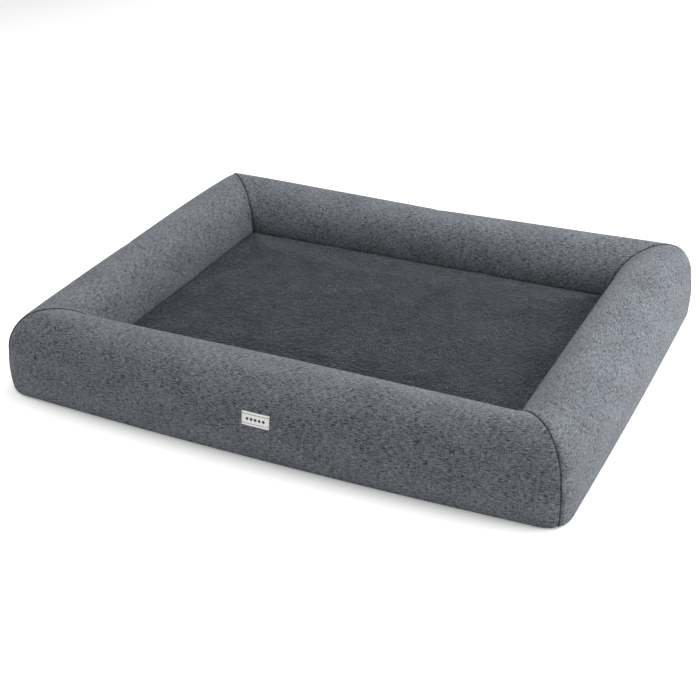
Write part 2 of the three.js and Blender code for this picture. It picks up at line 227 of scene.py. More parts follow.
def inflated(points, faces, held, slack, pressure=cloth_pressure):
    """Where the points go when pressure fills the cloth. It is sewn down where it is held, and cut
    longer where there is slack. No point moves further than the most that it may swell."""
    mesh = bpy.data.meshes.new("cloth")
    mesh.from_pydata(points.tolist(), [], faces)
    cloth = linked("cloth", mesh)
    cloth.vertex_groups.new(name="held").add(np.flatnonzero(held).tolist(), 1, "REPLACE")
    gathered = cloth.vertex_groups.new(name="slack")
    for index in np.flatnonzero(slack > 0.02).tolist():
        gathered.add([index], float(slack[index]), "REPLACE")
    modifier = cloth.modifiers.new("cloth", "CLOTH")
    settings = modifier.settings
    settings.vertex_group_mass = "held"
    settings.use_pressure = True
    settings.uniform_pressure_force = pressure
    settings.effector_weights.gravity = 0
    settings.vertex_group_shrink = "slack"
    settings.shrink_min, settings.shrink_max = 0, -gather_slack
    modifier.point_cache.frame_start, modifier.point_cache.frame_end = 1, cloth_frames
    for count in range(1, cloth_frames + 1):
        bpy.context.scene.frame_set(count)
    moved = np.zeros(len(points) * 3)
    evaluated(cloth).data.vertices.foreach_get("co", moved)
    bpy.data.objects.remove(cloth)
    bpy.context.scene.frame_set(1)
    change = moved.reshape(-1, 3) - points
    far = np.linalg.norm(change, axis=1, keepdims=True)
    return points + change * np.minimum(1, most_swell / np.maximum(far, 1e-9))


def piece(name, points, faces, weave=None, values=()):
    """A new piece with smooth faces. weave is a pair for each corner of each face, in metres along
    and round it; values are named numbers at the points."""
    mesh = bpy.data.meshes.new(name)
    mesh.from_pydata(np.asarray(points, float).tolist(), [], faces)
    if weave is not None:
        mesh.uv_layers.new(name="weave").data.foreach_set("uv", np.asarray(weave, float).ravel())
    for title, value in dict(values).items():
        mesh.attributes.new(title, "FLOAT", "POINT").data.foreach_set("value", np.asarray(value, float))
    mesh.shade_smooth()
    return linked(name, mesh)


def rounded(made):
    modifier = made.modifiers.new("rounding", "SUBSURF")
    modifier.levels = modifier.render_levels = 1
    return made


def bowed(points):
    """The bed's points with its sides pushed out in the middle. The outer half of a bolster moves and
    its inner face stays; the front moves least at its top."""
    x, y, z = np.array(points, float).T
    along_x = 1 - np.minimum(np.abs(x) / half_length, 1) ** bow_power
    along_y = 1 - np.minimum(np.abs(y) / half_width, 1) ** bow_power
    near_x = 1 - smooth_step((half_length - np.abs(x) - bow_start) / bow_fade)
    near_y = 1 - smooth_step((half_width - np.abs(y) - bow_start) / bow_fade)
    x_out = np.where(x > 0, side_bows["right"], -side_bows["left"])
    y_out = np.where(y < 0, -side_bows["front"], 0) * (1 - front_lean * np.clip(z / crest_height, 0, 1))
    return np.stack([x + x_out * near_x * along_y, y + y_out * near_y * along_x, z], 1)


def placed(side, points):
    """Points from a side's own frame (along it, in from its outer wall, up) in the bed's frame."""
    turn, _, reach, _ = sides[side]
    c, s = round(math.cos(math.radians(turn))), round(math.sin(math.radians(turn)))
    return bowed((points - [0, reach, 0]) @ np.array([[c, -s, 0], [s, c, 0], [0, 0, 1]]).T)


def with_caps(values, at_caps=0.0):
    """Ring values with one more for the middle of each end."""
    return np.concatenate([np.ravel(values), [at_caps, at_caps]])


def bolster(side, sections, shown, first_free):
    """A filled sleeve from mitre to mitre. sections holds a ring for each station; its points up to
    `shown` are cloth that shows, and those before `first_free` are sewn down."""
    _, half_run, _, crest = sides[side]
    stations = stations_of(half_run, cloth_step)
    rows, count = len(stations), sections.shape[1]
    grid, along = mitred(half_run, stations, sections)
    where, rise = np.array(crest).T
    lift = np.interp(stations, where, rise) * mm
    for _ in range(crest_smoothing):
        lift[1:-1] = (lift[:-2] + 2 * lift[1:-1] + lift[2:]) / 4
    height_share = (grid[..., 2] - floor_seam) / (crest_height - floor_seam)
    grid[..., 2] += lift[:, None] * smooth_step(height_share)
    points = np.concatenate([grid.reshape(-1, 3), grid[[0, -1]].mean(1)])
    faces = sleeve_faces(rows, count)
    row, ring = (a.ravel() for a in np.meshgrid(np.arange(rows), np.arange(count), indexing="ij"))
    to_mitre = (half_run * (1 - np.abs(stations)))[row]
    to_pad = np.maximum(shown - 1 - ring, 0) * cloth_step
    seen = ring < shown
    held = with_caps((ring >= shown - 1) | (ring < first_free) | (to_mitre < 1e-6), True).astype(bool)
    slack = with_caps(np.maximum(np.exp(-to_pad / pad_gather), 0.5 * np.exp(-to_mitre / mitre_gather)) * seen)
    room = swell_room * smooth_step(np.minimum(to_mitre, to_pad) / swell_fade)
    room *= smooth_step((ring - first_free) / swell_rows)
    points = points - outward(points, faces) * with_caps(room)[:, None]
    points = inflated(points, faces, held, slack)
    dip = with_caps(seam_dip * np.exp(-((to_mitre / seam_reach) ** seam_power)) * seen)
    points = points - outward(points, faces) * dip[:, None]
    beyond = np.maximum(np.abs(points[:, 0]) + points[:, 1] - (half_run - mitre_standoff), 0) / 2
    points[:, 0] -= np.sign(points[:, 0]) * beyond
    points[:, 1] -= beyond
    round_it = run_along(sections[rows // 2])
    weave = np.stack([along.ravel(), round_it[ring]], 1)
    weave = np.concatenate([weave, np.zeros((2, 2))])
    corners = np.concatenate([weave[f] for f in faces])
    made = piece(side + "_bolster", placed(side, points), faces, corners,
                 {"seam": with_caps(to_mitre), "pad": with_caps(to_pad)})
    return rounded(made)


class Wire:
    """An output of a node, in a material or a geometry tree, so that sums of them read as Python."""

    def __init__(self, tree, socket=None):
        self.tree, self.socket = tree, socket

    def node(self, kind, settings=(), values=(), output=0):
        """Adds a node: its settings first, then a value or a wire for each input named or numbered."""
        made = self.tree.nodes.new(kind)
        for name, value in dict(settings).items():
            if name == "stops":
                for index, (position, colour) in enumerate(value):
                    ramp = made.color_ramp.elements
                    stop = ramp[index] if index < 2 else ramp.new(position)
                    stop.position, stop.color = position, (*colour, 1)
            else:
                setattr(made, name, value)
        for name, value in dict(values).items():
            if isinstance(value, Wire):
                self.tree.links.new(value.socket, made.inputs[name])
            else:
                made.inputs[name].default_value = value
        return Wire(self.tree, made.outputs[output])

    def maths(self, operation, *others):
        return self.node("ShaderNodeMath", {"operation": operation}, enumerate((self, *others)))

    def __add__(self, other):
        return self.maths("ADD", other)

    def __sub__(self, other):
        return self.maths("SUBTRACT", other)

    def __rsub__(self, other):
        return self.node("ShaderNodeMath", {"operation": "SUBTRACT"}, {0: other, 1: self})

    def __mul__(self, other):
        return self.maths("MULTIPLY", other)

    def __truediv__(self, other):
        return self.maths("DIVIDE", other)

    __radd__, __rmul__ = __add__, __mul__

    def ramp(self, low, high, to_low=0.0, to_high=1.0):
        """Smoothly from one value to another as this goes from low to high."""
        return self.node("ShaderNodeMapRange", {"interpolation_type": "SMOOTHSTEP"},
                         {0: self, 1: low, 2: high, 3: to_low, 4: to_high})

    def scaled(self, *factors):
        return self.node("ShaderNodeVectorMath", {"operation": "MULTIPLY"}, {0: self, 1: factors})

    def moved(self, *offset):
        return self.node("ShaderNodeVectorMath", {"operation": "ADD"}, {0: self, 1: offset})

    def part(self, axis):
        """A vector's x, y or z, as 0, 1 or 2."""
        return self.node("ShaderNodeSeparateXYZ", {}, {0: self}, axis)

    def vector(self, x=0.0, y=0.0, z=0.0):
        return self.node("ShaderNodeCombineXYZ", {}, {0: x, 1: y, 2: z})

    def place(self):
        """Where a material's point is on the bed."""
        return self.node("ShaderNodeTexCoord", output=3)

    def attribute(self, name):
        return self.node("ShaderNodeAttribute", {"attribute_name": name}, {}, 2)

    def noise(self, scale=1.0, detail=2.0):
        return self.node("ShaderNodeTexNoise", {}, {"Vector": self, "Scale": scale, "Detail": detail})

    def between(self, first, second):
        """A colour mixed from the first to the second as this goes from 0 to 1."""
        return self.node("ShaderNodeMix", {"data_type": "RGBA"}, {0: self, 6: first, 7: second}, 2)

    def bump(self, distance, strength=1.0):
        return self.node("ShaderNodeBump", {}, {"Height": self, "Distance": distance, "Strength": strength})


def colour(red, green, blue):
    """A screen colour, each part from 0 to 255, as the shader's linear colour."""
    parts = [c / 255 for c in (red, green, blue)]
    return (*[c / 12.92 if c <= 0.04045 else ((c + 0.055) / 1.055) ** 2.4 for c in parts], 1)


def material(name, **sockets):
    """A new material, a wire to start its nodes from, and the inputs of its shader."""
    made = bpy.data.materials.new(name)
    made.use_nodes = True
    shader = made.node_tree.nodes["Principled BSDF"]
    for title, value in sockets.items():
        shader.inputs[title.replace("_", " ").title().replace("Ior", "IOR")].default_value = value
    return made, Wire(made.node_tree), shader.inputs


def feed(inputs, **wires):
    for title, wire in wires.items():
        wire.tree.links.new(wire.socket, inputs[title.replace("_", " ").title()])


linen, start, inputs = material("linen", roughness=0.92, specular_ior_level=0.12,
                                sheen_weight=0.08, sheen_roughness=0.5)
weave = start.node("ShaderNodeUVMap", {"uv_map": "weave"})
thread = 0.85 * mm
u, v = weave.part(0), weave.part(1)
weft_line, warp_line = (v / thread).maths("FLOOR"), (u / thread).maths("FLOOR")
weft_tone = start.vector(u * 55, weft_line * 0.73).noise(1, 1)
warp_tone = start.vector(warp_line * 0.61, v * 60, 7.0).noise(1, 1)
weft_wave = (u * (math.pi / thread)).maths("SINE")
warp_wave = (v * (math.pi / thread)).maths("SINE")
over = (weft_wave * warp_wave).ramp(-0.35, 0.35)  # which thread lies on top
tone = weft_tone * over + warp_tone * (1 - over)
mottle = weave.scaled(14, 22, 1).noise(1, 3)
# The yarn is a melange: short dark and pale lengths in it, more of them across than up.
dark_weft = weave.scaled(105, 680, 1).noise(1, 1).ramp(0.50, 0.66)
dark_warp = weave.scaled(620, 100, 3).noise(1, 1).ramp(0.54, 0.70)
pale_weft = weave.moved(3.7, 1.9, 0).scaled(130, 700, 1).noise(1, 1).ramp(0.52, 0.66)
pale_warp = weave.moved(5.1, 2.3, 0).scaled(600, 130, 1).noise(1, 1).ramp(0.54, 0.68)
shade = (0.09 + tone * 0.46 + mottle * 0.34 - dark_weft * 0.34 - dark_warp * 0.20
         + pale_weft * 0.33 + pale_warp * 0.21)
# Painted shade: the cloth is darkened within a few millimetres of each corner seam, where the groove lies in
# shadow.
seam_painted_shade = start.attribute("seam").ramp(0.2 * mm, 2.4 * mm, 0.45, 1)
cloth = shade.ramp(-0.1, 1.05).between(colour(25, 27, 32), colour(132, 136, 143))
cloth = start.node("ShaderNodeVectorMath", {"operation": "SCALE"}, {0: cloth, "Scale": seam_painted_shade})
threads = (weft_wave * warp_wave).maths("ABSOLUTE")
relief = threads * 0.5 + tone * 0.6 + pale_weft * 0.4 - dark_weft * 0.3
feed(inputs, base_color=cloth, normal=relief.bump(0.35 * mm, 0.8))

hem = arc((hem_radius, hem_foot + hem_radius), (hem_radius, hem_radius), -90, 0, 5)
plain_cloth = np.concatenate([hem[:-1], over_the_top(hem_foot + hem_radius)])
plain_ring = np.concatenate([plain_cloth, foot_to(hem_radius + foot_margin)])
for side in ("front", "right", "left"):
    rings = np.repeat(plain_ring[None], len(stations_of(sides[side][1], cloth_step)), axis=0)
    made = bolster(side, rings, len(plain_cloth), 1)
    made.data.materials.append(linen)
    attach(made, "root")
    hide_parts(side + "_bolster_cover", side + "_bolster_core")

# ------ the rear bolster and its zip strip
# The rear sleeve is in two parts, so that the cores can be taken out for washing. Its upper part ends
# in a folded edge over the zip, and a narrow strip below the zip turns under to the floor seam.
tape_low, tape_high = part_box("zip_tape_upper")
zip_height = (tape_low.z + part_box("zip_tape_lower")[1].z) / 2
chain_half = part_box("zip_coil_upper")[1].x
tape_front = half_width - tape_high.y  # its depth in from the outer wall
cloth_thickness = 1.6 * mm
fold_radius = cloth_thickness / 2
zip_valley = tape_front - cloth_thickness - 0.3 * mm  # how far the cloth pulls in along the zip
valley_top = tape_high.z + 2 * mm
valley_fade = 24 * mm
opening_half = 5.2 * mm  # from the zip's middle line to each folded edge
opening_end, opening_shut = chain_half + 6 * mm, chain_half + 12 * mm
valley_end, valley_gone = chain_half + 20 * mm, chain_half + 60 * mm
shut_gap = 0.15 * mm
recess = 8 * mm  # depth of the hollow behind the zip tape
recess_rows = (3 * mm, 12 * mm, 22 * mm, 32 * mm)  # the heights of its points

_, rear_run, _, _ = sides["rear"]
rear_stations = stations_of(rear_run, cloth_step)
wall_run = np.abs(rear_stations) * (rear_run - corner_radius * (1 - math.pi / 4))
valley = zip_valley * (1 - smooth_step((wall_run - valley_end) / (valley_gone - valley_end)))
opening = shut_gap + (opening_half - shut_gap) * (
    1 - smooth_step((wall_run - opening_end) / (opening_shut - opening_end)))


def fold(depth, edge, up, steps=5):
    """The rounded edge of a folded cloth, from its back to its front, just past an edge height."""
    turns = np.linspace(math.pi, 0, steps)
    return [(depth + fold_radius * (1 - math.cos(turn)), edge + up * fold_radius * (1 - math.sin(turn)))
            for turn in turns]


upper_cloth = over_the_top(zip_height + shut_gap + fold_radius)
opening_fade = smooth_step((valley_top + 8 * mm - upper_cloth[:, 1]) / (valley_top + 6 * mm - zip_height))
valley_share = 1 - smooth_step((upper_cloth[:, 1] - valley_top) / valley_fade)
valley_share *= upper_cloth[:, 0] < outer_arch[0]
upper_foot = foot_to(recess)
rear_rings, strip_rings = [], []
for drawn_in, gap in zip(valley, opening):
    cloth = upper_cloth + np.stack([drawn_in * valley_share, gap * opening_fade], 1)
    behind = drawn_in + cloth_thickness
    back = [(behind, valley_top), (behind, (valley_top + zip_height + gap) / 2)]
    edge = fold(drawn_in, zip_height + gap, 1)
    recess_wall = [(recess, floor_seam + height) for height in recess_rows]
    rear_rings.append([*back, *edge[:-1], *cloth[1:], *upper_foot, *recess_wall, (recess, valley_top)])
    top = zip_height - gap
    face = [*hem, *[(0, z) for z in np.linspace(hem_foot + hem_radius, top - fold_radius, 5)[1:-1]]]
    inner_hem = (hem_radius - cloth_thickness,) * 2
    inside = [tuple(p) for p in arc((hem_radius, hem_foot + hem_radius), inner_hem, -90, 0, len(hem))]
    inside += [(cloth_thickness, z) for _, z in face[len(hem):]]
    face = [(max(d, drawn_in), z) for d, z in face]
    inside = [(max(d, behind), z) for d, z in inside]
    strip_rings.append([*face, *fold(drawn_in, top, -1)[::-1], *inside[::-1]])
rear_rings, strip_rings = np.array(rear_rings), np.array(strip_rings)
flap = 2 + 4  # a ring's points on the flap's back and its folded edge
sewn_down = flap + 2  # and on the cloth up to its stitches

rear = bolster("rear", rear_rings, flap + len(upper_cloth) - 1, sewn_down)
rear.data.materials.append(linen)
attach(rear, "root")
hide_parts("rear_bolster_cover", "rear_bolster_core")


def strip_faces(rows, count):
    """Quads between the rings of a thin strip, and across its wall at each end."""
    faces = [f for f in sleeve_faces(rows, count) if len(f) == 4]
    last = (rows - 1) * count
    for k in range(count // 2 - 1):
        wall = [k, k + 1, count - 2 - k, count - 1 - k]
        faces += [wall[::-1], [last + n for n in wall]]
    return faces


count = strip_rings.shape[1]
grid, along = mitred(rear_run, rear_stations, strip_rings)
faces = strip_faces(len(rear_stations), count)
weave_at = np.stack([along.ravel(), np.tile(run_along(strip_rings[len(strip_rings) // 2]), len(along))], 1)
strip = piece("rear_strip", placed("rear", grid.reshape(-1, 3)), faces,
              np.concatenate([weave_at[f] for f in faces]),
              {"seam": np.repeat(rear_run * (1 - np.abs(rear_stations)), count)})
rounded(strip)
strip.data.materials.append(linen)
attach(strip, "root")
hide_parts("rear_zip_strip")

# ------ the zip
# A coil zip runs along the rear: two woven tapes, each with a row of nylon loops sewn along its edge,
# crimped metal stops, and a metal slider whose pull hangs on its bridge.
def new_tree(name, inputs):
    """A geometry tree: a wire to start its nodes from, and one from each of its named inputs."""
    tree = bpy.data.node_groups.new(name, "GeometryNodeTree")
    kinds = {"Geometry": "Geometry", **{title: kind for title, (kind, _) in inputs.items()}}
    for title, kind in kinds.items():
        tree.interface.new_socket(title, in_out="INPUT", socket_type="NodeSocket" + kind)
    tree.interface.new_socket("Geometry", in_out="OUTPUT", socket_type="NodeSocketGeometry")
    given = tree.nodes.new("NodeGroupInput")
    return Wire(tree), {title: Wire(tree, given.outputs[title]) for title in kinds}


def grown(name, start, shape, inputs, finish, source=None):
    """A plain new piece from a tree: its shape is made real and given its material, on a source mesh."""
    tree = start.tree
    real = start.node("GeometryNodeRealizeInstances", {}, {0: shape})
    dressed = start.node("GeometryNodeSetMaterial", {}, {"Geometry": real, "Material": finish})
    tree.links.new(dressed.socket, tree.nodes.new("NodeGroupOutput").inputs[0])
    base = source.data if source else bpy.data.meshes.new(name + "_base")
    maker = linked(name + "_maker", base)
    modifier = maker.modifiers.new("build", "NODES")
    modifier.node_group = tree
    identifiers = {s.name: s.identifier for s in tree.interface.items_tree if s.in_out == "INPUT"}
    for title, (_, value) in inputs.items():
        modifier[identifiers[title]] = value
    mesh = bpy.data.meshes.new_from_object(evaluated(maker))
    bpy.data.objects.remove(maker)
    mesh.shade_smooth()
    return linked(name, mesh)


# The tapes are woven in a fine twill. Their long edges are rounded selvedges.
twill, start, inputs = material("tape_twill", roughness=0.85, specular_ior_level=0.2)
rib_pitch, rib_slope, yarn_pitch = 0.9 * mm, 0.8, 0.55 * mm
at = start.place()
rib = ((at.part(0) + at.part(2) * rib_slope) * (2 * math.pi / rib_pitch)).maths("SINE")
yarn = (at.part(2) * (2 * math.pi / yarn_pitch)).maths("SINE")
grey = at.noise(900, 2) * 0.5 + rib * 0.2 + 0.3
feed(inputs, base_color=grey.between(colour(38, 40, 44), colour(78, 81, 87)),
     normal=(rib * 0.7 + yarn * 0.3).bump(0.12 * mm, 0.7))

tape_step = 8 * mm
for row in ("upper", "lower"):
    low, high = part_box("zip_tape_" + row)
    xs = np.linspace(low.x, high.x, round((high.x - low.x) / tape_step) + 1)
    middle_z, half_z = (low.z + high.z) / 2, (high.z - low.z) / 2
    middle_y, half_y = (low.y + high.y) / 2, (high.y - low.y) / 2
    across_tape = np.array([1, 0.85, 0.4, 0, -0.4, -0.85, -1])
    bevel = np.where(np.abs(across_tape) == 1, 0.45, 1)
    face = [(middle_y - half_y * b, middle_z + half_z * s) for s, b in zip(across_tape, bevel)]
    back = [(middle_y + half_y * b, middle_z + half_z * s) for s, b in zip(across_tape[::-1], bevel[::-1])]
    ring = np.array(face + back)
    points = [(x_at, y_at, z_at) for x_at in xs for y_at, z_at in ring]
    tape = piece("zip_tape_%s_woven" % row, points, strip_faces(len(xs), len(ring)))
    tape.data.materials.append(twill)
    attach(tape, "root")
    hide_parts("zip_tape_" + row)

# The loops of nylon: each goes round the tape's edge, flat and close to its neighbours.
nylon, start, inputs = material("nylon_coil", roughness=0.38, specular_ior_level=0.5)
blend = start.place().noise(1400, 2)
feed(inputs, base_color=blend.between(colour(34, 35, 38), colour(58, 60, 64)),
     roughness=blend.ramp(0.3, 0.7, 0.3, 0.5))
coil_pitch, nylon_radius, coil_lean = 1.3 * mm, 0.36 * mm, math.radians(14)
for row, lean in (("upper", 1), ("lower", -1)):
    low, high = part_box("zip_coil_" + row)
    wanted = {
        "First": ("Vector", (low.x + coil_pitch / 2, (low.y + high.y) / 2, (low.z + high.z) / 2)),
        "Pitch": ("Float", coil_pitch),
        "Loops": ("Int", int((high.x - low.x) / coil_pitch)),
        "Nylon": ("Float", nylon_radius),
        "Width": ("Float", (high.z - low.z) / 2 - nylon_radius),
        "Thickness": ("Float", (high.y - low.y) / 2 - nylon_radius),
        "Lean": ("Float", coil_lean * lean),
    }
    start, ask = new_tree("zip_coil_row", wanted)
    line = start.node("GeometryNodeMeshLine", {"mode": "OFFSET"}, {
        "Count": ask["Loops"], "Start Location": ask["First"], "Offset": start.vector(ask["Pitch"])})
    circle = start.node("GeometryNodeCurvePrimitiveCircle", {}, {"Resolution": 8, "Radius": 1.0})
    oval = start.node("GeometryNodeTransform", {}, {
        "Geometry": circle, "Rotation": (math.radians(90), 0, math.radians(90)),
        "Scale": start.vector(ask["Thickness"], ask["Width"], 1.0)})
    profile = start.node("GeometryNodeCurvePrimitiveCircle", {}, {"Resolution": 4, "Radius": ask["Nylon"]})
    loop = start.node("GeometryNodeCurveToMesh", {}, {"Curve": oval, "Profile Curve": profile})
    row_of = start.node("GeometryNodeInstanceOnPoints", {}, {
        "Points": line, "Instance": loop, "Rotation": start.vector(0.0, ask["Lean"])})
    coil = grown("zip_coil_%s_loops" % row, start, row_of, wanted, nylon)
    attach(coil, "root")
    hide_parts("zip_coil_" + row)

# The slider, its pull and the stops are zinc alloy, plated dark and rubbed bright along their edges.
gunmetal, start, inputs = material("gunmetal", metallic=1.0, roughness=0.35)
at = start.place()
edge = start.node("ShaderNodeNewGeometry", output=7).ramp(0.5, 0.56)
scuffs = at.scaled(500, 500, 1400).noise(1, 3).ramp(0.35, 0.75)
feed(inputs, base_color=(edge * 0.6 + scuffs * 0.35).between(colour(74, 76, 80), colour(176, 178, 182)),
     roughness=scuffs.ramp(0, 1, 0.28, 0.46), normal=scuffs.bump(0.03 * mm, 0.5))
for node in ("zip_slider", "zip_pull"):
    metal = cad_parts[node]
    metal.data.materials.clear()
    metal.data.materials.append(gunmetal)
for node in ("zip_top_stop_upper", "zip_top_stop_lower", "zip_bottom_stop"):
    low, high = (np.array(corner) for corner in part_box(node))
    middle, half = (low + high) / 2, (high - low) / 2
    rings = [(-1, 0.72), (-0.8, 1), (-0.25, 1), (0, 0.86), (0.25, 1), (0.8, 1), (1, 0.72)]
    outline = [(-1, -0.55), (-0.6, -1), (0.6, -1), (1, -0.55), (1, 0.55), (0.6, 1), (-0.6, 1), (-1, 0.55)]
    points = [middle + half * (share, y * size, z_at * size) for share, size in rings for y, z_at in outline]
    points += [middle - half * (1, 0, 0), middle + half * (1, 0, 0)]
    stop = piece(node + "_crimped", points, sleeve_faces(len(rings), len(outline)))
    stop.data.materials.append(gunmetal)
    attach(stop, "root")
    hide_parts(node)

# Two rows of lockstitch hold the folded edges down over the tapes.
sewing_thread, start, inputs = material("sewing_thread", roughness=0.7, sheen_weight=0.3)
blend = start.place().noise(2500, 2)
feed(inputs, base_color=blend.between(colour(36, 38, 42), colour(62, 65, 70)), normal=blend.bump(0.05 * mm))
stitch_length, stitch_pitch, stitch_radius = 2.7 * mm, 3.3 * mm, 0.32 * mm
stitch_margin = 2.6 * mm  # from the folded edge
stitch_stand = 0.1 * mm  # off the cloth
well_outside = 50 * mm  # where the rays that find the cloth start


def stitched(name, path, facing):
    """A row of stitches along a path, each a short thread that dips into the cloth at its ends."""
    wanted = {
        "Pitch": ("Float", stitch_pitch), "Length": ("Float", stitch_length),
        "Thread": ("Float", stitch_radius), "Facing": ("Vector", facing),
    }
    start, ask = new_tree("stitch_row", wanted)
    spaced = start.node("GeometryNodeMeshToCurve", {}, {0: ask["Geometry"]})
    spaced = start.node("GeometryNodeResampleCurve", {"mode": "LENGTH"},
                        {"Curve": spaced, "Length": ask["Pitch"]})
    along_it = start.node("GeometryNodeInputTangent")
    lie = start.node("FunctionNodeAlignRotationToVector", {"axis": "X"}, {"Vector": along_it})
    lie = start.node("FunctionNodeAlignRotationToVector", {"axis": "Z", "pivot_axis": "X"},
                     {"Rotation": lie, "Vector": ask["Facing"]})
    ball = start.node("GeometryNodeMeshUVSphere", {}, {"Segments": 8, "Rings": 5, "Radius": 0.5})
    stitch = start.node("GeometryNodeTransform", {}, {
        "Geometry": ball, "Rotation": (0, math.radians(90), 0),
        "Scale": start.vector(ask["Thread"] * 2, ask["Thread"] * 2, ask["Length"])})
    row_of = start.node("GeometryNodeInstanceOnPoints", {}, {
        "Points": spaced, "Instance": stitch, "Rotation": lie})
    edges = [(i, i + 1) for i in range(len(path) - 1)]
    guide = bpy.data.meshes.new(name + "_path")
    guide.from_pydata([tuple(p) for p in path], edges, [])
    source = bpy.data.objects.new(name + "_path", guide)
    made = grown(name, start, row_of, wanted, sewing_thread, source)
    bpy.data.objects.remove(source)
    return made


stitch_end = chain_half + 2 * mm
for row, up, cloth_piece in (("upper", 1, rear), ("lower", -1, strip)):
    height = zip_height + up * (opening_half + stitch_margin)
    path = []
    for x_at in np.linspace(-stitch_end, stitch_end, round(2 * stitch_end / tape_step) + 1):
        _, spot, _, _ = cloth_piece.ray_cast((x_at, half_width + well_outside, height), (0, -1, 0))
        path.append((x_at, spot.y + stitch_stand, height))
    seam = stitched("zip_stitches_" + row, path, (0, 1, 0))
    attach(seam, "root")

# ------ the sleeping pad
# Two foam slabs under a short-pile plush. The plush is sewn to the sleeves all round, so the pad is
# a little crowned and its edge rolls down into the seam.
pad_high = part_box("sleeping_surface")[1]
pad_x, pad_y, pad_top = pad_high.x, pad_high.y, pad_high.z
pad_crown = 2.5 * mm
pad_roll = 16 * mm  # width of the rolled edge
pad_step = 5 * mm
pad_pressure = 1.5
pad_edge_gather = 20 * mm  # how far the gathers reach from its seam
pile_depth = 1.2 * mm


def pad_edge(distance):
    """How far the plush has come up from the seam, from 0 at the edge to 1."""
    return np.sqrt(np.clip(1 - (1 - np.clip(distance / pad_roll, 0, 1)) ** 2, 0, 1))


def grid_faces(index):
    """The quads of a grid of points, and the points round its rim."""
    quads = np.stack([index[:-1, :-1], index[1:, :-1], index[1:, 1:], index[:-1, 1:]], -1).reshape(-1, 4)
    return quads, np.concatenate([index[:, 0], index[-1, 1:], index[-2::-1, -1], index[0, -2:0:-1]]).tolist()


def skirt(upper, lower):
    """The quads between a loop of points and the loop below it."""
    pairs = list(zip(upper, lower))
    return [[a, b, d, c] for (a, b), (c, d) in zip(pairs, [*pairs[1:], pairs[0]])]


columns, lines = round(2 * pad_x / pad_step) + 1, round(2 * pad_y / pad_step) + 1
px, py = np.meshgrid(np.linspace(-pad_x, pad_x, columns), np.linspace(-pad_y, pad_y, lines), indexing="ij")
to_edge = np.minimum(pad_x - np.abs(px), pad_y - np.abs(py))
crown = pad_crown * (1 - (px / pad_x) ** 2) * (1 - (py / pad_y) ** 2)
pz = pad_seam + (pad_top - pad_seam) * pad_edge(to_edge) + crown
top = np.stack([px, py, pz], -1).reshape(-1, 3)
quads, rim = grid_faces(np.arange(columns * lines).reshape(columns, lines))
faces = quads.tolist()
walls = [top[rim] * (1, 1, 0) + (0, 0, z_at) for z_at in (pad_seam / 2, floor_seam + mm, floor_seam)]
points = np.concatenate([top, *walls])
size = len(rim)
loops = [rim, *[range(len(top) + k * size, len(top) + (k + 1) * size) for k in range(len(walls))]]
for upper, lower in zip(loops, loops[1:]):
    faces += skirt(upper, lower)
below = len(points) - len(top)
held = np.concatenate([(to_edge < 1e-6).ravel(), np.ones(below, bool)])
slack = np.concatenate([np.exp(-to_edge / pad_edge_gather).ravel(), np.zeros(below)])
draft = rounded(piece("pad_draft", inflated(points, faces, held, slack, pad_pressure), faces))
fine = bpy.data.meshes.new_from_object(evaluated(draft))
bpy.data.objects.remove(draft)
points = np.array([v.co for v in fine.vertices])
faces = [list(f.vertices) for f in fine.polygons]
# The underside is closed by triangles round one middle point.
edges = dict.fromkeys(edge for f in faces for edge in zip(f, [*f[1:], f[0]]))
faces += [[b, a, len(points)] for a, b in edges if (b, a) not in edges]
points = np.concatenate([points, [(0, 0, floor_seam)]])


def lean_at(x_at, y_at):
    """The way the pile lies at a place, as a turn."""
    swirl = noise.noise(Vector((x_at * 7, y_at * 7, 3.1))) * 2.4
    return swirl + noise.noise(Vector((x_at * 22, y_at * 22, 8.4))) + 0.6


def tufts_at(x_at, y_at):
    """The height of the pile there, from 0 to 1: short ridges along the way the pile lies."""
    turn = lean_at(x_at, y_at)
    c, s = math.cos(turn), math.sin(turn)
    along_it, over_it = x_at * c + y_at * s, y_at * c - x_at * s
    ridges = noise.noise(Vector((along_it * 75, over_it * 330, 1.7)))
    fine_ridges = noise.noise(Vector((along_it * 150, over_it * 620, 5.2)))
    clumps = noise.noise(Vector((x_at * 60, y_at * 60, 9.9)))
    return 0.5 + 0.5 * ridges + 0.22 * fine_ridges + 0.25 * clumps


on_top = points[:, 2] > pad_seam + mm
ridge = np.array([tufts_at(x_at, y_at) if up else 0.5 for (x_at, y_at, _), up in zip(points, on_top)])
points[:, 2] += pile_depth * (ridge - 0.5) * smooth_step((points[:, 2] - pad_seam - mm) / (3 * mm))
pad = piece("sleeping_pad", bowed(points), faces, None, {"ridge": ridge, "top": on_top})

plush, start, inputs = material("plush", roughness=0.95, specular_ior_level=0.08, sheen_weight=0.1,
                                sheen_roughness=0.6)
at = start.place()
ridges = start.attribute("ridge")
drift = at.noise(16, 3)
fuzz = at.scaled(1, 1, 0.3).noise(420, 3)
# Painted shade: the plush is darker in the troughs of its pile ridges and lighter on their crests, as light
# falls on them. The drift and fuzz are its own tone.
shade = ridges * 0.55 + drift * 0.35 + fuzz * 0.3 - 0.1
feed(inputs, base_color=shade.ramp(0.1, 0.95).between(colour(40, 43, 50), colour(66, 70, 78)),
     normal=(fuzz * 0.6 + ridges * 0.6).bump(0.9 * mm, 0.9))
pad.data.materials.append(plush)
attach(pad, "root")
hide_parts("sleeping_surface", "comfort_foam", "support_foam")

